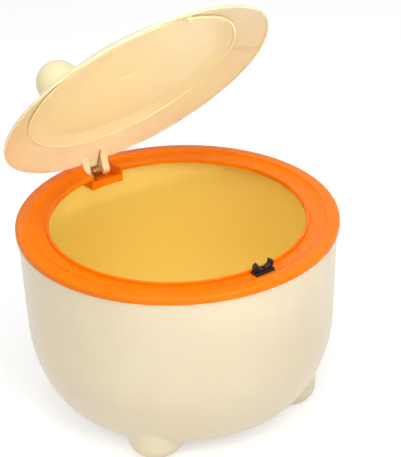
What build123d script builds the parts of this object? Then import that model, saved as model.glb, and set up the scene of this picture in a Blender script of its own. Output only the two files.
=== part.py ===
"""Round litter disposal pail: footed shell, lift-out bucket, ring with a sprung flip lid and touch latch.

Frame: origin on the floor under the pail's axis, +Z up, the latch towards -Y, the hinge towards +Y.
The lid is modelled open, where its spring holds it against its stop.
"""
from build123d import *
import math
import os

os.makedirs("parts", exist_ok=True)

# ---------------------------------------------------- driving dimensions, mm and degrees
ring_radius = 120.0
ring_top = 152.0             # the ring's top face over the floor
running_gap = 0.3            # between pieces that lift, turn or slide past each other

# shell
shell_wall = 2.4
shell_bottom = 6.0           # underside of the shell's floor, between the feet
ring_overhang = 1.6          # how far the ring stands proud of the shell's rim
wall_taper = 1.5
hip_turn = 28.0              # how far the wall bends through its wide lower bend
hip_radius = 100.0
base_radius = 36.0           # tighter bend from the hip into the floor

# feet
foot_count = 4
foot_inset = 34.4            # from the shell's rim radius in to the middle of a foot
foot_turn = -4.6             # the shell isn't keyed to the ring; it stands this far round
foot_flat = 9.0
foot_round = 12.0
foot_blend = 5.0

# bucket
bucket_gap = 6.3             # between the shell's inside and the bucket
bucket_wall = 2.0
flange_thickness = 1.2
flange_reach = 1.3           # how far the flange lies over the shell's rim

# ring section
web_thickness = 3.6
skirt_thickness = 2.1
band_width = 10.0
band_round = 2.4
recess_edge = 0.9            # drop at the outer end of the recess's curve
recess_depth = 3.2
recess_slope = 7.5           # width over which the recess's floor curves up
floor_thickness = 1.4
spigot_gap = 0.4             # between the ring's lower step and the bucket
ledge_width = 14.7           # from the recess's edge in to the mouth
bead_width = 2.2
bead_height = 2.4

# hinge
open_angle = 49.5
pin_radius = 1.5
pin_fit = 0.05
pin_inset = 8.2              # from the ring's outer radius in to the hinge pin
pin_drop = 7.4               # below the ring's top face
pocket_width = 24.6
pocket_wall = 2.0
pocket_depth = 12.4          # from the ring's top face to the inside of the pocket's floor
pocket_floor = 1.4
pocket_sill = 8.6            # top of the pocket's front wall, below the ring's top face
pocket_front = 2.4
arm_width = 6.0
arm_side_gap = 0.6
arm_reach = 11.5             # how far the arm's root runs in under the lid
arm_heel_turn = 40.0         # where the arm's outer edge leaves its knuckle, round the pin
knuckle_radius = 3.2
stop_nib_radius = 1.0
stop_nib_offset = 3.6        # from the pin to the nib's middle
stop_nib_angle = -60.0       # of the nib round the pin, with the lid shut
stop_rib_width = 2.0
bridge_thickness = 1.3       # of the plate between the lid's arms, over the spring
bridge_turn = 98.0           # how far round the pin the plate starts, with the lid shut
bridge_gap = 0.9             # between the plate and the spring's coil

# torsion spring
spring_wire = 1.1
spring_mean_radius = 3.2
spring_whole_turns = 4
spring_pitch = 1.85
lid_leg_length = 18.0
lid_leg_lift = 20.5          # slope of the lid's leg against the lid's plane
ring_leg_length = 8.5
ring_leg_tilt = 4.0

# lid
rim_plane_drop = 0.2         # plane of the shut lid's widest circle, below the ring's top face
lid_clearance = 1.0          # between the lid's rim and the ring's recess
rim_round = 1.2
hinge_flat = 2.8             # how far the lid's rim is cut back behind the hinge arms
cover_wall = 1.9
cone_angle = 23.3
cone_width = 29.2            # from the lid's widest circle in to where its cone meets its shoulder
shoulder_radius = 30.0
crown_angle = 6.0            # slope where the shoulder meets the crown
liner_gap = 0.4
liner_wall = 1.2
liner_inset = 23.4           # from the lid's widest circle in to the liner's edge
liner_bead_width = 2.2
liner_bead_drop = 1.9        # how far the liner's bead stands below the cover's inside
ear_inset = 54.0             # from the lid's widest circle in to an ear's middle
ear_height = 26.0            # of the ear's centre over the plane of the lid's widest circle
ear_radius = 16.4
ear_blend = 12.0

# touch latch
latch_inset = 5.7            # from the mouth's edge out to the middle of the latch
seat_depth = 0.1             # the collar's seat, cut into the recess's floor
collar_width = 16.0
collar_depth = 7.2
collar_height = 2.2
seat_fit = 0.1
housing_width = 15.0
housing_depth = 6.4
housing_wall = 0.6
housing_height = 18.0        # below the seat
slider_gap = 0.15
slider_height = 8.4
cheek_thickness = 0.8
cheek_rise = 2.6             # cheeks over the jaws' pivots
jaw_play = 0.15
jaw_pivot_x = 4.2
jaw_pivot_drop = 2.4         # below the ring's top face, latch open
jaw_hub_radius = 1.4
jaw_stub_radius = 0.6
latch_spring_wire = 0.4
latch_spring_radius = 1.5
latch_spring_turns = 5
follower_radius = 0.35
follower_height = 9.0
follower_hook = 0.6
follower_side = 3.6          # from the latch's middle, clear of its spring
slot_width = 1.3
slot_depth = 1.6
slot_height = 7.4
catch_reach = 4.4            # below the plane of the lid's widest circle
catch_stem = 1.6
catch_head = 2.8
catch_head_height = 1.4
catch_depth = 3.0
catch_foot_width = 5.0
catch_foot_depth = 4.6
catch_foot_height = 1.0

# ---------------------------------------------------- values worked out from the above
rim_radius = ring_radius - ring_overhang
web_under = ring_top - web_thickness
flange_under = web_under - running_gap - flange_thickness
shell_rim = flange_under - running_gap
skirt_under = shell_rim + running_gap
bucket_inset = shell_wall + bucket_gap
flange_radius = rim_radius - shell_wall + flange_reach
bucket_mouth = rim_radius - bucket_inset - bucket_wall
recess_floor = ring_top - recess_depth
floor_under = recess_floor - floor_thickness
recess_radius = ring_radius - band_width
recess_flat = recess_radius - recess_slope
mouth_radius = recess_radius - ledge_width
pin_offset = ring_radius - pin_inset
latch_radius = mouth_radius + latch_inset
foot_circle = rim_radius - foot_inset
lid_radius = recess_radius - lid_clearance
cone_inner_radius = lid_radius - cone_width
liner_radius = lid_radius - liner_inset
ear_spread = lid_radius - ear_inset
pocket_half = pocket_width / 2
pocket_outer = pocket_half + pocket_wall
pocket_inside = ring_top - pocket_depth
pocket_under = pocket_inside - pocket_floor
pocket_back = rim_radius - shell_wall - 2 * running_gap
pin_height = ring_top - pin_drop
rim_offset = pin_drop - rim_plane_drop
nib_turn = math.radians(stop_nib_angle - open_angle)
latch_seat = recess_floor - seat_depth
jaw_pivot = ring_top - jaw_pivot_drop
slider_top = jaw_pivot - jaw_hub_radius - running_gap
slider_under = slider_top - slider_height
housing_inside = latch_seat - housing_height + housing_wall
slider_width = housing_width - 2 * housing_wall - 2 * slider_gap
slider_depth = housing_depth - 2 * housing_wall - 2 * slider_gap
jaw_thickness = slider_depth - 2 * cheek_thickness - 2 * jaw_play
hinge_line = Axis((0, pin_offset, pin_height), (-1, 0, 0))


def shell_points(inset, top):
    """Points of the pail's outline, moved inwards by inset, from the axis up to the height top."""
    taper = math.radians(wall_taper)
    hip = taper + math.radians(hip_turn)
    hip_rise = hip_radius * (math.sin(hip) - math.sin(taper))
    base_rise = base_radius * (1 - math.sin(hip))
    flat = rim_radius - (shell_rim - shell_bottom - hip_rise - base_rise) * math.tan(taper)
    flat -= hip_radius * (math.cos(taper) - math.cos(hip)) + base_radius * math.cos(hip)
    base = base_radius - inset
    bend = hip_radius - inset
    floor = shell_bottom + inset
    base_end = (flat + base * math.cos(hip), floor + base * (1 - math.sin(hip)))
    hip_end = (
        base_end[0] + bend * (math.cos(taper) - math.cos(hip)),
        base_end[1] + bend * (math.sin(hip) - math.sin(taper)),
    )
    wall_end = (hip_end[0] + (top - hip_end[1]) * math.tan(taper), top)
    return floor, flat, base_end, hip_end, wall_end


def pail_solid(inset, top):
    """Solid of revolution that follows the pail's outline, moved inwards by inset."""
    floor, flat, base_end, hip_end, wall_end = shell_points(inset, top)
    with BuildPart() as pail:
        with BuildSketch(Plane.XZ):
            with BuildLine():
                Line((0, floor), (flat, floor))
                base = TangentArc((flat, floor), base_end, tangent=(1, 0))
                TangentArc(base_end, hip_end, tangent=base % 1)
                Polyline(hip_end, wall_end, (0, top), (0, floor))
            make_face()
        revolve(axis=Axis.Z)
    return pail.part


def foot_stub(inset):
    """Round-bottomed stub on the Z axis, moved inwards by inset."""
    bend = foot_round - inset
    top = 3 * foot_round  # well inside the shell's wall
    with BuildPart() as stub:
        with BuildSketch(Plane.XZ):
            with BuildLine():
                Line((0, inset), (foot_flat, inset))
                TangentArc((foot_flat, inset), (foot_flat + bend, foot_round), tangent=(1, 0))
                Polyline((foot_flat + bend, foot_round), (foot_flat + bend, top), (0, top), (0, inset))
            make_face()
        revolve(axis=Axis.Z)
    return stub.part


def lid_points(inset):
    """Rim, cone, shoulder and crown of the lid's outline over its widest circle, moved inwards by inset."""
    cone = math.radians(cone_angle)
    crown = math.radians(crown_angle)
    start = (
        lid_radius - rim_round + (rim_round - inset) * math.sin(cone),
        (rim_round - inset) * math.cos(cone),
    )
    full_start = lid_radius - rim_round + rim_round * math.sin(cone)
    cone_run = full_start - cone_inner_radius
    cone_end = (start[0] - cone_run, start[1] + cone_run * math.tan(cone))
    bend = shoulder_radius - inset
    shoulder_end = (
        cone_end[0] - bend * (math.sin(cone) - math.sin(crown)),
        cone_end[1] + bend * (math.cos(crown) - math.cos(cone)),
    )
    crown_rise = shoulder_end[0] * math.tan(crown / 2)
    return start, cone_end, shoulder_end, (0, shoulder_end[1] + crown_rise)


def dome_solid(inset, floor):
    """Solid of revolution under the lid's outline, moved inwards by inset, down to the height floor."""
    start, cone_end, shoulder_end, apex = lid_points(inset)
    with BuildPart() as dome:
        with BuildSketch(Plane.YZ):
            with BuildLine():
                crown = TangentArc(apex, shoulder_end, tangent=(1, 0))
                TangentArc(shoulder_end, cone_end, tangent=crown % 1)
                Polyline(cone_end, start, (start[0], floor), (0, floor), apex)
            make_face()
        revolve(axis=Axis.Z)
    return dome.part


def place_on_lid(piece):
    """Move a piece drawn in the shut lid's own frame, its widest circle at height 0, to the open lid."""
    shut = Pos(0, 0, ring_top - rim_plane_drop) * piece
    return shut.rotate(hinge_line, open_angle)


def helix_points(middle, radius, start_angle, turned, rise, quarters):
    """Joints of a helix along +X and the wire's direction at each; turned is in degrees, rise in mm."""
    joints = []
    slope = rise / (radius * math.radians(turned))
    for index in range(quarters + 1):
        share = index / quarters
        angle = math.radians(start_angle + turned * share)
        across = Vector(0, math.cos(angle), math.sin(angle))
        along = Vector(slope, -math.sin(angle), math.cos(angle)).normalized()
        joints.append((middle + across * radius + Vector(rise * (share - 0.5), 0, 0), along))
    return joints


def biarc(start, start_direction, end, end_direction):
    """Two tangent arcs from start to end that leave and arrive along the given directions."""
    span = end - start
    across = span.dot(start_direction + end_direction)
    bend = 2 * (1 - start_direction.dot(end_direction))
    reach = (-across + math.sqrt(across**2 + bend * span.dot(span))) / bend
    first = start + start_direction * reach
    second = end - end_direction * reach
    middle = (first + second) * 0.5
    TangentArc(start, middle, tangent=start_direction)
    TangentArc(middle, end, tangent=(second - first).normalized())


def least_self_gap(path, wire, spacing, skip):
    """Least gap between stretches of a wire that lie more than skip apart along it, measured on points."""
    count = math.ceil(path.length / spacing)
    points = [path @ (index / count) for index in range(count + 1)]
    apart = math.ceil(skip / spacing)
    gaps = []
    for index, point in enumerate(points):
        for other in points[index + apart:]:
            gaps.append((point - other).length - wire)
    return min(gaps)


# ---------------------------------------------------- outer shell with its moulded feet
feet_start = -90.0 + 180.0 / foot_count + foot_turn

with BuildPart() as outer_shell:
    add(pail_solid(0, shell_rim))
    with PolarLocations(foot_circle, foot_count, start_angle=feet_start):
        add(foot_stub(0))
    foot_roots = outer_shell.edges().filter_by(GeomType.BSPLINE).sort_by(Axis.X)
    fillet(foot_roots, radius=foot_blend)
    add(pail_solid(shell_wall, ring_top), mode=Mode.SUBTRACT)
    with PolarLocations(foot_circle, foot_count, start_angle=feet_start):
        add(foot_stub(shell_wall), mode=Mode.SUBTRACT)
outer_shell.part.label = "outer_shell"
export_step(outer_shell.part, "parts/outer_shell.step")

# ---------------------------------------------------- bucket that hangs by its flange on the shell
with BuildPart() as inner_bucket:
    add(pail_solid(bucket_inset, flange_under + flange_thickness))
    with BuildSketch(Plane.XY.offset(flange_under)):
        Circle(flange_radius)
    extrude(amount=flange_thickness)
    add(pail_solid(bucket_inset + bucket_wall, ring_top), mode=Mode.SUBTRACT)
    with BuildSketch(Plane.XY.offset(pocket_under - 2 * running_gap)):
        with Locations((0, ring_radius)):
            Rectangle(2 * (pocket_outer + 2 * running_gap), 2 * (ring_radius - mouth_radius))
    extrude(until=Until.LAST, mode=Mode.SUBTRACT)
inner_bucket.part.label = "inner_bucket"
export_step(inner_bucket.part, "parts/inner_bucket.step")

# ---------------------------------------------------- ring with the hinge's pocket and the latch's seat
bead_shoulder = recess_floor + bead_height - bead_width / 2
spigot_radius = bucket_mouth - spigot_gap
nib_side = stop_nib_offset * math.cos(nib_turn)
nib_depth = stop_nib_offset * math.sin(nib_turn)
rib_face = pin_offset + nib_side - stop_nib_radius - running_gap
arm_middle = pocket_half - arm_side_gap - arm_width / 2

with BuildPart() as top_ring:
    with BuildSketch(Plane.XZ):
        with BuildLine():
            Line((mouth_radius, floor_under), (spigot_radius, floor_under))
            Line((spigot_radius, floor_under), (spigot_radius, web_under))
            Line((spigot_radius, web_under), (ring_radius - skirt_thickness, web_under))
            Line((ring_radius - skirt_thickness, web_under), (ring_radius - skirt_thickness, skirt_under))
            Line((ring_radius - skirt_thickness, skirt_under), (ring_radius, skirt_under))
            Line((ring_radius, skirt_under), (ring_radius, ring_top - band_round))
            TangentArc(
                (ring_radius, ring_top - band_round),
                (ring_radius - band_round, ring_top),
                tangent=(0, 1),
            )
            Line((ring_radius - band_round, ring_top), (recess_radius + recess_edge, ring_top))
            TangentArc(
                (recess_radius + recess_edge, ring_top),
                (recess_radius, ring_top - recess_edge),
                tangent=(-1, 0),
            )
            TangentArc(
                (recess_flat, recess_floor),
                (recess_radius, ring_top - recess_edge),
                tangent=(1, 0),
            )
            Line((recess_flat, recess_floor), (mouth_radius + bead_width, recess_floor))
            Line((mouth_radius + bead_width, recess_floor), (mouth_radius + bead_width, bead_shoulder))
            TangentArc(
                (mouth_radius + bead_width, bead_shoulder),
                (mouth_radius, bead_shoulder),
                tangent=(0, 1),
            )
            Line((mouth_radius, bead_shoulder), (mouth_radius, floor_under))
        make_face()
    revolve(axis=Axis.Z)

    # the pocket's block, cut out to hold the lid's arms and the spring
    with BuildSketch(Plane.XY.offset(pocket_under)):
        with Locations((0, ring_radius / 2)):
            Rectangle(2 * pocket_outer, ring_radius)
        Circle(pocket_back, mode=Mode.INTERSECT)
        Circle(mouth_radius, mode=Mode.SUBTRACT)
    extrude(amount=web_under - pocket_under)
    with BuildSketch(Plane.XY.offset(pocket_inside)):
        with Locations((0, mouth_radius + pocket_front)):
            Rectangle(2 * pocket_half, ring_radius - mouth_radius, align=(Align.CENTER, Align.MIN))
    extrude(amount=ring_top - pocket_inside, mode=Mode.SUBTRACT)
    with BuildSketch(Plane.XY.offset(ring_top - pocket_sill)):
        with Locations((0, mouth_radius + pocket_front)):
            Rectangle(2 * pocket_half, 2 * pocket_front, align=(Align.CENTER, Align.MAX))
    extrude(amount=pocket_sill, mode=Mode.SUBTRACT)

    # ribs that stop the lid's arms
    with BuildSketch(Plane.XY.offset(pocket_inside)):
        with Locations((arm_middle, rib_face), (-arm_middle, rib_face)):
            Rectangle(arm_width, stop_rib_width, align=(Align.CENTER, Align.MAX))
    extrude(amount=pin_height + nib_depth - pocket_inside)

    # bore for the pin through both side walls
    with BuildSketch(Plane.YZ):
        with Locations((pin_offset, pin_height)):
            Circle(pin_radius + pin_fit)
    extrude(amount=pocket_outer, both=True, mode=Mode.SUBTRACT)

    # seat and slot for the latch
    with BuildSketch(Plane.XY.offset(latch_seat)):
        with Locations((0, -latch_radius)):
            Rectangle(collar_width + 2 * seat_fit, collar_depth + 2 * seat_fit)
    extrude(amount=recess_depth, mode=Mode.SUBTRACT)
    with BuildSketch(Plane.XY.offset(latch_seat)):
        with Locations((0, -latch_radius)):
            Rectangle(housing_width + 2 * seat_fit, housing_depth + 2 * seat_fit)
    extrude(amount=-recess_depth, mode=Mode.SUBTRACT)
top_ring.part.label = "top_ring"
export_step(top_ring.part, "parts/top_ring.step")

# ---------------------------------------------------- hinge pin
with BuildPart() as hinge_pin:
    with BuildSketch(Plane.YZ):
        with Locations((pin_offset, pin_height)):
            Circle(pin_radius)
    extrude(amount=pocket_outer, both=True)
hinge_pin.part.label = "hinge_pin"
export_step(hinge_pin.part, "parts/hinge_pin.step")

# ---------------------------------------------------- torsion spring round the pin
lid_leg_angle = 180.0 - lid_leg_lift - open_angle
spring_start = ring_leg_tilt - 90.0
spring_turned = spring_whole_turns * 360.0 + lid_leg_angle - 90.0 - spring_start
spring_rise = spring_pitch * spring_turned / 360.0
ring_leg_direction = Vector(0, math.cos(math.radians(ring_leg_tilt)), math.sin(math.radians(ring_leg_tilt)))
lid_leg_direction = Vector(0, math.cos(math.radians(lid_leg_angle)), math.sin(math.radians(lid_leg_angle)))
spring_joints = helix_points(
    Vector(0, pin_offset, pin_height),
    spring_mean_radius,
    spring_start,
    spring_turned,
    spring_rise,
    round(spring_turned / 90.0),
)
spring_joints[0] = (spring_joints[0][0], ring_leg_direction)
spring_joints[-1] = (spring_joints[-1][0], lid_leg_direction)
ring_leg_end = spring_joints[0][0] - ring_leg_direction * ring_leg_length
lid_leg_end = spring_joints[-1][0] + lid_leg_direction * lid_leg_length

with BuildPart() as torsion_spring:
    with BuildLine() as spring_path:
        Line(ring_leg_end, spring_joints[0][0])
        for begin, finish in zip(spring_joints, spring_joints[1:]):
            biarc(*begin, *finish)
        Line(spring_joints[-1][0], lid_leg_end)
    with BuildSketch(Plane(origin=ring_leg_end, z_dir=ring_leg_direction)):
        Circle(spring_wire / 2)
    sweep()
torsion_spring.part.label = "torsion_spring"
export_step(torsion_spring.part, "parts/torsion_spring.step")
spring_gap = least_self_gap(spring_path.wire(), spring_wire, 0.4, math.pi * spring_mean_radius)
print("torsion spring, least gap to itself", round(spring_gap, 2))
print("torsion spring, volume over section times length",
      round(torsion_spring.part.volume / (spring_path.wire().length * math.pi * spring_wire**2 / 4), 4))

# ---------------------------------------------------- lid cover with its ears and hinge arms
pin_in_lid = (pin_offset, -rim_offset)
cover_slope = math.tan(math.radians(cone_angle))
flat_edge = lid_radius - hinge_flat
arm_root = pin_offset - arm_reach
arm_outside = pocket_half - arm_side_gap
bridge_inner = spring_mean_radius + spring_wire / 2 + bridge_gap


def cover_height(radius, inset):
    """Height of the cover's cone at a radius, moved inwards by inset, over the lid's widest circle."""
    start = lid_points(inset)[0]
    return start[1] + (start[0] - radius) * cover_slope


def bridge_end(reach):
    """Point at the free end of the plate between the arms, at a distance from the pin."""
    turn = math.radians(bridge_turn)
    return (pin_offset + reach * math.cos(turn), reach * math.sin(turn) - rim_offset)


def lies_on_ear_root(edge):
    """True for an edge where an ear's ball meets the dome."""
    middle = edge @ 0.5
    reach = (middle - Vector(math.copysign(ear_spread, middle.X), 0, ear_height)).length
    return abs(reach - ear_radius) < 0.01 and middle.Z < ear_height


with BuildPart() as cover_shut:
    add(dome_solid(0, 0))
    with Locations((ear_spread, 0, ear_height), (-ear_spread, 0, ear_height)):
        Sphere(ear_radius)
    ear_roots = cover_shut.edges().filter_by(lies_on_ear_root).sort_by(Axis.X)
    fillet(ear_roots, radius=ear_blend)
    add(dome_solid(cover_wall, -rim_round), mode=Mode.SUBTRACT)
    with Locations((ear_spread, 0, ear_height), (-ear_spread, 0, ear_height)):
        Sphere(ear_radius - cover_wall, mode=Mode.SUBTRACT)
    with BuildSketch(Plane.XZ):
        with Locations((lid_radius - rim_round, 0)):
            Circle(rim_round)
    revolve(axis=Axis.Z)
    with Locations((0, flat_edge, 0)):
        Box(ring_radius, 2 * hinge_flat, 4 * rim_round, align=(Align.CENTER, Align.MIN, Align.CENTER),
            mode=Mode.SUBTRACT)
    for side in (-1, 1):
        with BuildSketch(Plane.YZ.offset(side * arm_middle)):
            with Locations(pin_in_lid):
                Circle(knuckle_radius)
            with BuildLine():
                Polyline(
                    (pin_offset + knuckle_radius * math.cos(math.radians(arm_heel_turn)),
                     knuckle_radius * math.sin(math.radians(arm_heel_turn)) - rim_offset),
                    (flat_edge, cover_height(flat_edge, 0)),
                    (arm_root, cover_height(arm_root, cover_wall / 2)),
                    (pin_offset - knuckle_radius, -rim_offset),
                    close=True,
                )
            make_face()
            with Locations(pin_in_lid):
                with PolarLocations(stop_nib_offset, 1, start_angle=stop_nib_angle):
                    Circle(stop_nib_radius)
                Circle(pin_radius + pin_fit, mode=Mode.SUBTRACT)
        extrude(amount=arm_width / 2, both=True)
    with BuildSketch(Plane.YZ):
        with BuildLine():
            Polyline(
                bridge_end(bridge_inner),
                bridge_end(bridge_inner + bridge_thickness),
                (flat_edge, cover_height(flat_edge, 0)),
                (flat_edge - hinge_flat, cover_height(flat_edge - hinge_flat, cover_wall / 2)),
                (flat_edge, cover_height(flat_edge, 0) - bridge_thickness),
                close=True,
            )
        make_face()
    extrude(amount=arm_outside, both=True)

with BuildPart() as lid_cover:
    add(place_on_lid(cover_shut.part))
lid_cover.part.label = "lid_cover"
export_step(lid_cover.part, "parts/lid_cover.step")

# ---------------------------------------------------- lid liner, whose edge is a round bead
liner_top = lid_points(cover_wall + liner_gap)
liner_under = lid_points(cover_wall + liner_gap + liner_wall)
bead_inner = liner_radius - liner_bead_width
bead_line = cover_height(liner_radius, cover_wall) - liner_bead_drop + liner_bead_width / 2
liner_edge_height = cover_height(liner_radius, cover_wall + liner_gap)
bead_root_height = cover_height(bead_inner, cover_wall + liner_gap + liner_wall)

with BuildPart() as liner_shut:
    with BuildSketch(Plane.XZ):
        with BuildLine():
            top_crown = TangentArc(liner_top[3], liner_top[2], tangent=(1, 0))
            TangentArc(liner_top[2], liner_top[1], tangent=top_crown % 1)
            Line(liner_top[1], (liner_radius, liner_edge_height))
            Line((liner_radius, liner_edge_height), (liner_radius, bead_line))
            TangentArc((liner_radius, bead_line), (bead_inner, bead_line), tangent=(0, -1))
            Line((bead_inner, bead_line), (bead_inner, bead_root_height))
            Line((bead_inner, bead_root_height), liner_under[1])
            under_crown = TangentArc(liner_under[3], liner_under[2], tangent=(1, 0))
            TangentArc(liner_under[2], liner_under[1], tangent=under_crown % 1)
            Line(liner_under[3], liner_top[3])
        make_face()
    revolve(axis=Axis.Z)

with BuildPart() as lid_liner:
    add(place_on_lid(liner_shut.part))
lid_liner.part.label = "lid_liner"
export_step(lid_liner.part, "parts/lid_liner.step")

# ---------------------------------------------------- catch under the lid's front edge
catch_root = cover_height(latch_radius - catch_foot_depth / 2, cover_wall)
catch_foot_top = cover_height(latch_radius + catch_foot_depth / 2, cover_wall)

with BuildPart() as catch_shut:
    with BuildSketch(Plane.XY.offset(-catch_reach)):
        with Locations((0, -latch_radius)):
            Rectangle(catch_head, catch_depth)
    extrude(amount=catch_head_height)
    chamfer(catch_shut.faces().sort_by(Axis.Z)[0].edges().filter_by(Axis.Y), length=catch_head_height / 3)
    with BuildSketch(Plane.XY.offset(catch_head_height - catch_reach)):
        with Locations((0, -latch_radius)):
            Rectangle(catch_stem, catch_depth)
    extrude(amount=catch_root + catch_reach - catch_head_height)
    with BuildSketch(Plane.XY.offset(catch_foot_top - catch_foot_height)):
        with Locations((0, -latch_radius)):
            Rectangle(catch_foot_width, catch_foot_depth)
    extrude(amount=catch_foot_height + catch_foot_depth)
    add(dome_solid(cover_wall, -2 * catch_reach), mode=Mode.INTERSECT)

with BuildPart() as lid_catch:
    add(place_on_lid(catch_shut.part))
lid_catch.part.label = "lid_catch"
export_step(lid_catch.part, "parts/lid_catch.step")

# ---------------------------------------------------- touch latch: housing
with BuildPart() as latch_housing:
    with BuildSketch(Plane.XY.offset(latch_seat)):
        with Locations((0, -latch_radius)):
            RectangleRounded(collar_width, collar_depth, radius=housing_wall)
    extrude(amount=collar_height)
    with BuildSketch(Plane.XY.offset(latch_seat)):
        with Locations((0, -latch_radius)):
            Rectangle(housing_width, housing_depth)
    extrude(amount=-housing_height)
    with BuildSketch(Plane.XY.offset(housing_inside)):
        with Locations((0, -latch_radius)):
            Rectangle(housing_width - 2 * housing_wall, housing_depth - 2 * housing_wall)
    extrude(amount=housing_height + collar_height, mode=Mode.SUBTRACT)
latch_housing.part.label = "latch_housing"
export_step(latch_housing.part, "parts/latch_housing.step")

# ---------------------------------------------------- touch latch: slider with cheeks for the jaws
with BuildPart() as latch_slider:
    with BuildSketch(Plane.XY.offset(slider_under)):
        with Locations((0, -latch_radius)):
            Rectangle(slider_width, slider_depth)
    extrude(amount=slider_height)
    with BuildSketch(Plane.XZ.offset(latch_radius - slider_depth / 2)):
        with Locations((0, slider_top)):
            Rectangle(slider_width, jaw_pivot + cheek_rise - slider_top, align=(Align.CENTER, Align.MIN))
    extrude(amount=slider_depth)
    round_edges = latch_slider.edges().filter_by(Axis.Y).group_by(Axis.Z)[-1]
    fillet(round_edges, radius=cheek_rise)
    with BuildSketch(Plane.XZ.offset(latch_radius - slider_depth / 2 + cheek_thickness)):
        with Locations((0, slider_top)):
            Rectangle(slider_width, ring_radius, align=(Align.CENTER, Align.MIN))
    extrude(amount=slider_depth - 2 * cheek_thickness, mode=Mode.SUBTRACT)
    with BuildSketch(Plane.XZ.offset(latch_radius - slider_depth / 2)):
        with Locations((jaw_pivot_x, jaw_pivot), (-jaw_pivot_x, jaw_pivot)):
            Circle(jaw_stub_radius + pin_fit)
    extrude(amount=slider_depth, mode=Mode.SUBTRACT)
    with BuildSketch(Plane.XY.offset(slider_under)):
        with Locations((follower_side, slider_depth / 2 - latch_radius)):
            Rectangle(slot_width, slot_depth, align=(Align.CENTER, Align.MAX))
    extrude(amount=slot_height, mode=Mode.SUBTRACT)
latch_slider.part.label = "latch_slider"
export_step(latch_slider.part, "parts/latch_slider.step")

# ---------------------------------------------------- touch latch: two hooked jaws
jaw_outline = [
    (1.4, 0.2), (2.5, 1.4), (3.55, 3.1), (3.6, 5.6), (1.5, 8.2),
    (0.8, 6.6), (2.0, 5.2), (2.2, 3.0), (0.9, 1.2),
]

for side, jaw_name in ((-1, "latch_jaw_left"), (1, "latch_jaw_right")):
    with BuildPart() as latch_jaw:
        with BuildSketch(Plane.XZ.offset(latch_radius - jaw_thickness / 2)):
            with Locations((side * jaw_pivot_x, jaw_pivot)):
                Circle(jaw_hub_radius)
            with BuildLine():
                Polyline(*[(side * (jaw_pivot_x + x), jaw_pivot + z) for x, z in jaw_outline], close=True)
            make_face()
        extrude(amount=jaw_thickness)
        with BuildSketch(Plane.XZ.offset(latch_radius - slider_depth / 2)):
            with Locations((side * jaw_pivot_x, jaw_pivot)):
                Circle(jaw_stub_radius)
        extrude(amount=slider_depth)
    latch_jaw.part.label = jaw_name
    export_step(latch_jaw.part, f"parts/{jaw_name}.step")

# ---------------------------------------------------- touch latch: spring under the slider
spring_height = slider_under - housing_inside
spring_ends = 2 * latch_spring_wire
latch_joints = helix_points(
    Vector(0, 0, 0),
    latch_spring_radius,
    0.0,
    latch_spring_turns * 360.0,
    spring_height - spring_ends,
    latch_spring_turns * 4,
)
spring_frame = Plane(
    origin=(0, -latch_radius, housing_inside + spring_height / 2),
    x_dir=(0, 0, 1),
    z_dir=(0, 1, 0),
)
latch_joints = [
    (
        spring_frame.from_local_coords(point),
        spring_frame.from_local_coords(along) - spring_frame.origin,
    )
    for point, along in latch_joints
]

with BuildPart() as latch_spring:
    with BuildLine():
        for begin, finish in zip(latch_joints, latch_joints[1:]):
            biarc(*begin, *finish)
    with BuildSketch(Plane(origin=latch_joints[0][0], z_dir=latch_joints[0][1])):
        Circle(latch_spring_wire / 2)
    sweep()
latch_spring.part.label = "latch_spring"
export_step(latch_spring.part, "parts/latch_spring.step")

# ---------------------------------------------------- touch latch: wire that follows the slider's track
follower_line = slider_depth / 2 - latch_radius - slot_depth / 2

with BuildPart() as latch_follower:
    with BuildLine():
        FilletPolyline(
            (follower_side, follower_line, housing_inside),
            (follower_side, follower_line, housing_inside + follower_height),
            (follower_side, follower_line - follower_hook, housing_inside + follower_height),
            radius=follower_hook * 0.8,
        )
    with BuildSketch(Plane.XY.offset(housing_inside)):
        with Locations((follower_side, follower_line)):
            Circle(follower_radius)
    sweep()
latch_follower.part.label = "latch_follower"
export_step(latch_follower.part, "parts/latch_follower.step")
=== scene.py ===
import bpy
import bmesh
import math
from mathutils import Matrix, Vector


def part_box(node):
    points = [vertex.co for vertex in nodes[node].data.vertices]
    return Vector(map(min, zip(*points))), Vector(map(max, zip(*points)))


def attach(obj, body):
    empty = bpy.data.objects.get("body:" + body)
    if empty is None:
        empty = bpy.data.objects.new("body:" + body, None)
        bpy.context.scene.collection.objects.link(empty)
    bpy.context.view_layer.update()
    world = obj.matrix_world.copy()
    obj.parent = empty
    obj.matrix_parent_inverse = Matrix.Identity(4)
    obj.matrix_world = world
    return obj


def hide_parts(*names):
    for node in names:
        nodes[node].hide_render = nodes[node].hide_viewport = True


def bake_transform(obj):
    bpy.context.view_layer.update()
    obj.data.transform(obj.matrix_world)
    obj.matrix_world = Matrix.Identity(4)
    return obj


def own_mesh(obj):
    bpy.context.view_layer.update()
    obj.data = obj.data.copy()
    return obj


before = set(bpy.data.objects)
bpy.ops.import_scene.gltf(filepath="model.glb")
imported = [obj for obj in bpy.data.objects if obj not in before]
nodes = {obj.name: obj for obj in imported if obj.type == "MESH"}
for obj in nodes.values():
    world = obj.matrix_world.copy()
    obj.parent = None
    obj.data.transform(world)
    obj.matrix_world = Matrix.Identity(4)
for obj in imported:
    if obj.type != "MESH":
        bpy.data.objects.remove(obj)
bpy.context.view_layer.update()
print("frame loaded:", len(nodes), "nodes")


def paint(red, green, blue):
    # screen values from 0 to 255, turned into the linear colour that a shader wants
    linear = []
    for value in (red, green, blue):
        share = value / 255
        linear.append(share / 12.92 if share <= 0.04045 else ((share + 0.055) / 1.055) ** 2.4)
    return (*linear, 1.0)


# ---- shared shader groups

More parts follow.
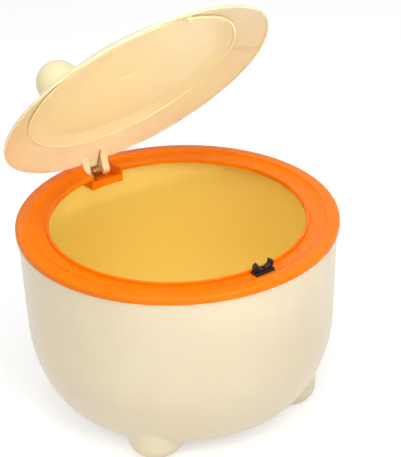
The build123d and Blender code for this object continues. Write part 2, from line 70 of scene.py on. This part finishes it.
def newGroup(name, inputs, outputs):
    group = bpy.data.node_groups.new(name, "ShaderNodeTree")
    for label, kind, value in inputs:
        socket = group.interface.new_socket(label, in_out="INPUT", socket_type=kind)
        socket.default_value = value
    for label, kind in outputs:
        group.interface.new_socket(label, in_out="OUTPUT", socket_type=kind)
    start = group.nodes.new("NodeGroupInput")
    end = group.nodes.new("NodeGroupOutput")
    return group, start, end


def addNode(tree, kind, **values):
    # each value goes to the node's own setting of that name, or else to its input of that name
    node = tree.nodes.new(kind)
    for key, value in values.items():
        if hasattr(node, key):
            setattr(node, key, value)
        else:
            node.inputs[key.replace("_", " ")].default_value = value
    return node


def makeMouldSkin():
    # faint flow clouds, a fine moulded grain and rubbed patches, all on object coordinates
    group, start, end = newGroup(
        "mouldSkin",
        [
            ("Cloud Scale", "NodeSocketFloat", 14.0),
            ("Grain Scale", "NodeSocketFloat", 1400.0),
            ("Rub Scale", "NodeSocketFloat", 60.0),
        ],
        [
            ("Cloud", "NodeSocketFloat"),
            ("Grain", "NodeSocketFloat"),
            ("Rub", "NodeSocketFloat"),
        ],
    )
    links = group.links
    coords = addNode(group, "ShaderNodeTexCoord")
    cloud = addNode(group, "ShaderNodeTexNoise", Detail=3.0, Roughness=0.5)
    grain = addNode(group, "ShaderNodeTexNoise", Detail=2.0, Roughness=0.55)
    rub = addNode(group, "ShaderNodeTexNoise", Detail=3.0, Roughness=0.5)
    for node, scale in ((cloud, "Cloud Scale"), (grain, "Grain Scale"), (rub, "Rub Scale")):
        links.new(coords.outputs["Object"], node.inputs["Vector"])
        links.new(start.outputs[scale], node.inputs["Scale"])
    spread = addNode(group, "ShaderNodeMapRange", From_Min=0.35, From_Max=0.65)
    links.new(cloud.outputs["Fac"], spread.inputs["Value"])
    links.new(spread.outputs["Result"], end.inputs["Cloud"])
    links.new(grain.outputs["Fac"], end.inputs["Grain"])
    patches = addNode(group, "ShaderNodeMapRange", From_Min=0.25, From_Max=0.75)
    links.new(rub.outputs["Fac"], patches.inputs["Value"])
    links.new(patches.outputs["Result"], end.inputs["Rub"])
    return group


mouldSkin = makeMouldSkin()


def newMaterial(name):
    material = bpy.data.materials.new(name)
    material.use_nodes = True
    tree = material.node_tree
    shader = tree.nodes["Principled BSDF"]
    return material, tree, shader


def makeFinish(name, look):
    # moulded plastic, or metal where the look says so: two close tints, fine grain, uneven gloss
    material, tree, shader = newMaterial(name)
    links = tree.links
    skin = addNode(tree, "ShaderNodeGroup")
    skin.node_tree = mouldSkin
    skin.inputs["Cloud Scale"].default_value = look["cloudScale"]
    skin.inputs["Grain Scale"].default_value = look["grainScale"]
    skin.inputs["Rub Scale"].default_value = look["rubScale"]
    tint = addNode(tree, "ShaderNodeMix", data_type="RGBA")
    tintA, tintB = (socket for socket in tint.inputs if socket.type == "RGBA")
    tintA.default_value = look["colour"]
    tintB.default_value = look["cloudColour"]
    links.new(skin.outputs["Cloud"], tint.inputs["Factor"])
    tinted = next(socket for socket in tint.outputs if socket.type == "RGBA")
    links.new(tinted, shader.inputs["Base Color"])
    gloss = addNode(tree, "ShaderNodeMapRange", To_Min=look["gloss"][0], To_Max=look["gloss"][1])
    links.new(skin.outputs["Rub"], gloss.inputs["Value"])
    links.new(gloss.outputs["Result"], shader.inputs["Roughness"])
    bump = addNode(tree, "ShaderNodeBump", Strength=look["grainStrength"], Distance=look["grainDepth"])
    links.new(skin.outputs["Grain"], bump.inputs["Height"])
    links.new(bump.outputs["Normal"], shader.inputs["Normal"])
    shader.inputs["IOR"].default_value = look["ior"]
    shader.inputs["Specular IOR Level"].default_value = look["shine"]
    shader.inputs["Metallic"].default_value = look["metallic"]
    shader.inputs["Subsurface Weight"].default_value = look["depth"]
    shader.inputs["Subsurface Radius"].default_value = look["bleed"]
    shader.inputs["Subsurface Scale"].default_value = look["bleedScale"]
    return material


def makeLook(colour, cloudColour, gloss, depth=0.0, shine=0.5, metallic=0.0):
    # gloss: lowest and highest roughness; depth: share of light that goes below the surface
    return {
        "colour": colour,
        "cloudColour": cloudColour,
        "cloudScale": 14.0,
        "grainScale": 1400.0,
        "rubScale": 30.0,
        "gloss": gloss,
        "grainStrength": 0.15,
        "grainDepth": 0.00004,
        "ior": 1.49,
        "shine": shine,
        "metallic": metallic,
        "depth": depth,
        "bleed": (1.0, 0.7, 0.4),
        "bleedScale": 0.004,
    }


looks = {
    "shell": makeLook(paint(243, 227, 194), paint(240, 222, 188), (0.22, 0.26), depth=0.15),
    "ring": makeLook(paint(252, 130, 0), paint(248, 125, 0), (0.26, 0.3), depth=0.1, shine=0.15),
    "bucket": makeLook(paint(255, 229, 124), paint(254, 227, 119), (0.38, 0.45)),
    "lid": makeLook(paint(253, 234, 188), paint(252, 231, 184), (0.27, 0.3), depth=0.3),
    "liner": makeLook(paint(255, 239, 188), paint(254, 237, 184), (0.33, 0.36), depth=0.2),
    "latch": makeLook(paint(22, 20, 26), paint(28, 26, 33), (0.15, 0.22)),
    "steel": makeLook(paint(176, 160, 138), paint(190, 164, 128), (0.25, 0.35), metallic=1.0),
    "spring": makeLook(paint(226, 180, 104), paint(196, 146, 78), (0.22, 0.34), metallic=1.0),
}
materials = {name: makeFinish(name + "Finish", look) for name, look in looks.items()}

# nodes that are shown as they come; the others are replaced below
finishes = {
    "outer_shell": "shell",
    "inner_bucket": "bucket",
    "top_ring": "ring",
    "lid_cover": "lid",
    "lid_liner": "liner",
    "lid_catch": "lid",
    "hinge_pin": "steel",
    "latch_follower": "steel",
}
for node, finish in finishes.items():
    nodes[node].data.materials.clear()
    nodes[node].data.materials.append(materials[finish])
print("materials set")

# ---- new pieces

weldDistance = 0.000001


def finishPiece(name, mesh, finish, sharpAngle=35.0):
    # turns a bmesh into a smooth-shaded object at the origin with its finish
    bmesh.ops.remove_doubles(mesh, verts=mesh.verts, dist=weldDistance)
    bmesh.ops.recalc_face_normals(mesh, faces=mesh.faces)
    data = bpy.data.meshes.new(name)
    mesh.to_mesh(data)
    mesh.free()
    data.shade_smooth()
    data.set_sharp_from_angle(angle=math.radians(sharpAngle))
    piece = bpy.data.objects.new(name, data)
    bpy.context.scene.collection.objects.link(piece)
    data.materials.append(materials[finish])
    return piece


def vertsOf(parts):
    return [part for part in parts if isinstance(part, bmesh.types.BMVert)]


def edgesOf(parts):
    return [part for part in parts if isinstance(part, bmesh.types.BMEdge)]


def cornersOf(node):
    # lowest and highest corner of a node's box
    low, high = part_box(node)
    return Vector(low), Vector(high)


def middleOf(node):
    low, high = cornersOf(node)
    return (low + high) / 2


def addBlock(mesh, low, high):
    verts = bmesh.ops.create_cube(mesh, size=1.0)["verts"]
    bmesh.ops.scale(mesh, vec=high - low, verts=verts)
    bmesh.ops.translate(mesh, vec=(high + low) / 2, verts=verts)
    return verts


def roundEdges(mesh, edges, offset, steps):
    bmesh.ops.bevel(
        mesh, geom=edges, offset=offset, offset_type="OFFSET",
        segments=steps, profile=0.5, affect="EDGES", material=-1,
    )


torsionSpring = {
    "wire": 0.0011,
    "coilRadius": 0.0036,
    "pitch": 0.00185,
    "wholeTurns": 4,
    "ringLegTilt": 4.0,        # degrees over the horizontal
    "ringLegLength": 0.0085,
    "lidLegAngle": 110.0,      # degrees from straight back, with the lid open
    "lidLegLength": 0.018,
    "wireSides": 14,
    "stepsPerTurn": 32,
    "sharpAngle": 60.0,
}


def windCoil(mesh, spring, start, turned, rise):
    # round wire wound about the X axis with its middle at the origin; gives back its two open ends
    wireRadius = spring["wire"] / 2
    section = bmesh.ops.create_circle(mesh, segments=spring["wireSides"], radius=wireRadius)["verts"]
    firstEnd = mesh.edges[:]
    bmesh.ops.translate(mesh, verts=section, vec=(-rise / 2, spring["coilRadius"], 0))
    bmesh.ops.rotate(mesh, verts=section, cent=(0, 0, 0), matrix=Matrix.Rotation(start, 3, "X"))
    steps = round(spring["stepsPerTurn"] * turned / math.tau)
    wound = bmesh.ops.spin(
        mesh, geom=section + firstEnd, cent=(0, 0, 0), axis=(1, 0, 0),
        dvec=(rise / steps, 0, 0), angle=turned, steps=steps,
    )
    return firstEnd, edgesOf(wound["geom_last"])


def makeTorsionSpring(spring):
    mesh = bmesh.new()
    start = math.radians(spring["ringLegTilt"] - 90)
    finish = math.radians(spring["lidLegAngle"] - 90)
    turned = spring["wholeTurns"] * math.tau + finish - start
    rise = spring["pitch"] * turned / math.tau
    ringEnd, lidEnd = windCoil(mesh, spring, start, turned, rise)
    ringLegWay = Vector((0, -math.sin(start), math.cos(start))) * -spring["ringLegLength"]
    lidLegWay = Vector((0, -math.sin(finish), math.cos(finish))) * spring["lidLegLength"]
    for end, way in ((ringEnd, ringLegWay), (lidEnd, lidLegWay)):
        leg = bmesh.ops.extrude_edge_only(mesh, edges=end)["geom"]
        bmesh.ops.translate(mesh, verts=vertsOf(leg), vec=way)
        bmesh.ops.edgeloop_fill(mesh, edges=edgesOf(leg))
    pin = middleOf("hinge_pin")
    bmesh.ops.translate(mesh, verts=mesh.verts, vec=pin)
    piece = finishPiece("hingeSpring", mesh, "spring", spring["sharpAngle"])
    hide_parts("torsion_spring")
    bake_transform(piece)


makeTorsionSpring(torsionSpring)

latch = {
    "collarHeight": 0.0022,
    "collarBevel": 0.0005,
    "collarSteps": 3,
    "wall": 0.001,
    "neckStep": 0.0005,        # from the collar's side in to the housing's side
    "floor": 0.0006,
    "jawBevel": 0.00035,
    "jawSteps": 2,
    "jawDepth": 0.0034,
    "jawSharpAngle": 50.0,
    "sliderPlay": 0.0001,
    "sliderDrop": 0.0028,      # from the ring's top face down to the slider's block
    "cheekReach": 0.0006,      # how far that tall half goes past the latch's middle
    "cheekThickness": 0.00075,
    "cheekRound": 0.0024,
    "cheekSteps": 6,
    "cheekLift": 0.0008,       # how far a cheek's tall half stands over the slider's solid
    "jawPivotSide": 0.0042,    # from the latch's middle to a jaw's pivot
    "jawPivotDrop": 0.0024,    # below the ring's top face
}
# outline of the right jaw round its pivot: away from the latch's middle, and up
jawOutline = [
    (0.0019, -0.0004), (0.0030, 0.0013), (0.0040, 0.0031), (0.0043, 0.0054), (0.0032, 0.0072),
    (0.0015, 0.0082), (0.0008, 0.0068), (0.0008, 0.0056), (0.0001, 0.0043), (-0.0015, 0.0038),
    (-0.0028, 0.0028), (-0.0033, 0.0014), (-0.0022, -0.0006), (0.0004, -0.0015),
]


def makeLatchHousing(latch):
    mesh = bmesh.new()
    low, high = cornersOf("latch_housing")
    collarLow = Vector((low.x, low.y, high.z - latch["collarHeight"]))
    addBlock(mesh, collarLow, high)
    top = max(mesh.faces, key=lambda face: face.calc_center_median().z)
    bottom = min(mesh.faces, key=lambda face: face.calc_center_median().z)
    outerEdges = [edge for edge in mesh.edges if edge not in bottom.edges]
    bmesh.ops.inset_region(mesh, faces=[top], thickness=latch["wall"])
    well = bmesh.ops.extrude_face_region(mesh, geom=[top])["geom"]
    bmesh.ops.delete(mesh, geom=[top], context="FACES_ONLY")
    depth = high.z - low.z - latch["floor"]
    bmesh.ops.translate(mesh, vec=(0, 0, -depth), verts=vertsOf(well))
    bmesh.ops.inset_region(mesh, faces=[bottom], thickness=latch["neckStep"])
    neck = bmesh.ops.extrude_face_region(mesh, geom=[bottom])["geom"]
    bmesh.ops.delete(mesh, geom=[bottom], context="FACES_ONLY")
    bmesh.ops.translate(mesh, vec=(0, 0, low.z - collarLow.z), verts=vertsOf(neck))
    roundEdges(mesh, outerEdges, latch["collarBevel"], latch["collarSteps"])
    piece = finishPiece("latchHousing", mesh, "latch")
    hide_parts("latch_housing")
    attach(piece, "ring")


def makeLatchJaw(latch, side, name, body, node):
    mesh = bmesh.new()
    middle = middleOf("latch_housing")
    pivotHeight = cornersOf("top_ring")[1].z - latch["jawPivotDrop"]
    points = [
        mesh.verts.new((
            middle.x + side * (latch["jawPivotSide"] + across),
            middle.y - latch["jawDepth"] / 2,
            pivotHeight + up,
        ))
        for across, up in jawOutline
    ]
    front = mesh.faces.new(points)
    back = bmesh.ops.extrude_face_region(mesh, geom=[front])["geom"]
    bmesh.ops.translate(mesh, vec=(0, latch["jawDepth"], 0), verts=vertsOf(back))
    roundEdges(mesh, mesh.edges[:], latch["jawBevel"], latch["jawSteps"])
    piece = finishPiece(name, mesh, "latch", latch["jawSharpAngle"])
    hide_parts(node)
    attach(piece, body)


def makeLatchSlider(latch):
    # block inside the housing, with a cheek before and behind the jaws, each taller at the left jaw
    mesh = bmesh.new()
    low, high = cornersOf("latch_slider")
    low.x += latch["sliderPlay"]
    high.x -= latch["sliderPlay"]
    blockTop = cornersOf("top_ring")[1].z - latch["sliderDrop"]
    cheekFoot = blockTop - latch["cheekThickness"]
    cheekTop = high.z + latch["cheekLift"]
    cheekEnd = (low.x + high.x) / 2 + latch["cheekReach"]
    parts = [(low, Vector((high.x, high.y, blockTop)), latch["jawBevel"])]
    for front in (low.y, high.y - latch["cheekThickness"]):
        back = front + latch["cheekThickness"]
        tallLow = Vector((low.x, front, cheekFoot))
        parts.append((tallLow, Vector((cheekEnd, back, cheekTop)), latch["cheekRound"]))
        shortLow = Vector((cheekEnd, front, cheekFoot))
        parts.append((shortLow, Vector((high.x, back, high.z)), latch["cheekRound"] / 2))
    for partLow, partHigh, rounding in parts:
        block = addBlock(mesh, partLow, partHigh)
        shoulders = [
            edge for edge in mesh.edges
            if edge.verts[0] in block
            and abs((edge.verts[0].co - edge.verts[1].co).normalized().y) > 0.9
            and edge.verts[0].co.z > (partHigh.z + partLow.z) / 2
        ]
        roundEdges(mesh, shoulders, rounding, latch["cheekSteps"])
    piece = finishPiece("latchSlider", mesh, "latch")
    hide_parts("latch_slider")
    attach(piece, "slider")


latchSpring = {
    "wire": 0.00035,
    "coilRadius": 0.0014,
    "turns": 4,
    "travel": 0.0058,          # how far the slider goes down onto it
    "wireSides": 10,
    "stepsPerTurn": 24,
    "sharpAngle": 60.0,
}


def makeLatchSpring(spring):
    # stands under the slider
    mesh = bmesh.new()
    low, high = cornersOf("latch_spring")
    height = high.z - low.z
    ends = windCoil(mesh, spring, 0.0, spring["turns"] * math.tau, height - spring["wire"])
    for end in ends:
        bmesh.ops.edgeloop_fill(mesh, edges=end)
    upright = Matrix.Rotation(math.radians(-90), 3, "Y")
    bmesh.ops.rotate(mesh, verts=mesh.verts, cent=(0, 0, 0), matrix=upright)
    bmesh.ops.translate(mesh, verts=mesh.verts, vec=(low + high) / 2)
    piece = finishPiece("latchSpring", mesh, "steel", spring["sharpAngle"])
    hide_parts("latch_spring")
    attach(piece, "ring")
    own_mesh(piece)


makeLatchHousing(latch)
makeLatchSpring(latchSpring)
makeLatchSlider(latch)
makeLatchJaw(latch, -1, "latchJawLeft", "jaw_left", "latch_jaw_left")
makeLatchJaw(latch, 1, "latchJawRight", "jaw_right", "latch_jaw_right")
print("hinge and latch modelled")

# ---- floor, light and camera

view = {
    "azimuth": 34.9,       # degrees that the pail's latch stands right of the camera's line
    "elevation": 28.28,
    "distance": 1.08,
    "aimHeight": 0.152,
    "pitch": 0.60,
    "yaw": 0.89,
    "roll": 2.04,
    "focalPixels": 1458.0,
    "framePixels": 457.0,
    "sensor": 36.0,
}


studio = {
    "worldLevel": 0.3,         # of the light from all round
    "floorRadius": 6.0,
    "floorSides": 64,
    "floorShade": 0.7,
    "floorRoughness": 0.9,
    "floorLift": 0.5,          # glow that brings the floor up to white where it is looked at
}


def rayMask(tree, kinds):
    # 1 for a ray of any of these kinds, else 0
    path = addNode(tree, "ShaderNodeLightPath")
    mask = path.outputs[kinds[0]]
    for kind in kinds[1:]:
        either = addNode(tree, "ShaderNodeMath", operation="MAXIMUM")
        tree.links.new(mask, either.inputs[0])
        tree.links.new(path.outputs[kind], either.inputs[1])
        mask = either.outputs[0]
    return mask


def makeFloor(studio):
    mesh = bmesh.new()
    sides = studio["floorSides"]
    bmesh.ops.create_circle(mesh, cap_ends=True, segments=sides, radius=studio["floorRadius"])
    data = bpy.data.meshes.new("floor")
    mesh.to_mesh(data)
    mesh.free()
    floor = bpy.data.objects.new("floor", data)
    bpy.context.scene.collection.objects.link(floor)
    material, tree, shader = newMaterial("floorWhite")
    shade = studio["floorShade"]
    shader.inputs["Base Color"].default_value = (shade, shade, shade, 1.0)
    shader.inputs["Roughness"].default_value = studio["floorRoughness"]
    shader.inputs["Specular IOR Level"].default_value = 0.0
    lift = addNode(tree, "ShaderNodeMath", operation="MULTIPLY")
    lift.inputs[1].default_value = studio["floorLift"]
    tree.links.new(rayMask(tree, ["Is Camera Ray", "Is Glossy Ray"]), lift.inputs[0])
    shader.inputs["Emission Color"].default_value = (1, 1, 1, 1)
    tree.links.new(lift.outputs[0], shader.inputs["Emission Strength"])
    data.materials.append(material)


def makeWorld(studio):
    # dim light from all round, but plain white where it is seen
    world = bpy.data.worlds.new("studio")
    bpy.context.scene.world = world
    world.use_nodes = True
    tree = world.node_tree
    out = tree.nodes["World Output"]
    ambient = tree.nodes["Background"]
    ambient.inputs["Color"].default_value = (1, 1, 1, 1)
    ambient.inputs["Strength"].default_value = studio["worldLevel"]
    white = addNode(tree, "ShaderNodeBackground")
    white.inputs["Strength"].default_value = 1.0
    white.inputs["Color"].default_value = (1, 1, 1, 1)
    mix = addNode(tree, "ShaderNodeMixShader")
    seen = rayMask(tree, ["Is Camera Ray", "Is Glossy Ray", "Is Transmission Ray"])
    tree.links.new(seen, mix.inputs[0])
    tree.links.new(ambient.outputs[0], mix.inputs[1])
    tree.links.new(white.outputs[0], mix.inputs[2])
    tree.links.new(mix.outputs[0], out.inputs["Surface"])


lamps = {
    # turn: degrees right of the camera's line; rise: degrees above the floor
    "leftBox": {"turn": -30.0, "rise": 42.0, "distance": 2.2, "size": 1.2, "power": 13.0},
    "rightBox": {"turn": 38.0, "rise": 42.0, "distance": 2.2, "size": 1.2, "power": 15.0},
    "topBox": {"turn": 20.0, "rise": 78.0, "distance": 2.2, "size": 1.6, "power": 18.0},
    "frontBox": {"turn": 8.0, "rise": 6.0, "distance": 2.2, "size": 1.4, "power": 6.0},
    # narrow beam onto the underside of the open lid
    "lidBox": {"turn": 34.9, "rise": 6.0, "distance": 1.5, "size": 0.16, "power": 0.08,
               "spread": 12.0, "aim": (0.0, 0.03, 0.25)},
}
lampAim = (0.0, 0.0, 0.12)     # where the lamps point unless they have an aim of their own


def makeLamp(name, lamp):
    data = bpy.data.lights.new(name, "AREA")
    data.shape = "SQUARE"
    data.size = lamp["size"]
    data.energy = lamp["power"]
    data.spread = math.radians(lamp.get("spread", 180.0))
    holder = bpy.data.objects.new(name, data)
    turn = math.radians(lamp["turn"] - view["azimuth"])
    rise = math.radians(lamp["rise"])
    toLamp = Vector((math.sin(turn) * math.cos(rise), -math.cos(turn) * math.cos(rise), math.sin(rise)))
    holder.location = Vector(lamp.get("aim", lampAim)) + lamp["distance"] * toLamp
    holder.rotation_mode = "QUATERNION"
    holder.rotation_quaternion = toLamp.to_track_quat("Z", "Y")
    bpy.context.scene.collection.objects.link(holder)


def makeCamera():
    data = bpy.data.cameras.new("camera")
    camera = bpy.data.objects.new("camera", data)
    bpy.context.scene.collection.objects.link(camera)
    data.sensor_width = view["sensor"]
    data.lens = view["focalPixels"] * view["sensor"] / view["framePixels"]
    turned = Matrix.Rotation(math.radians(-view["azimuth"]), 4, "Z")
    tilted = Matrix.Rotation(math.radians(90 - view["elevation"]), 4, "X")
    away = Matrix.Translation((0, 0, view["distance"]))
    aimed = (
        Matrix.Rotation(math.radians(-view["yaw"]), 4, "Y")
        @ Matrix.Rotation(math.radians(-view["pitch"]), 4, "X")
        @ Matrix.Rotation(math.radians(-view["roll"]), 4, "Z")
    )
    camera.matrix_world = Matrix.Translation((0, 0, view["aimHeight"])) @ turned @ tilted @ away @ aimed
    bpy.context.scene.camera = camera


makeFloor(studio)
makeWorld(studio)
for name, lamp in lamps.items():
    makeLamp(name, lamp)
makeCamera()
bpy.context.scene.view_settings.view_transform = "Standard"
print("stage set")
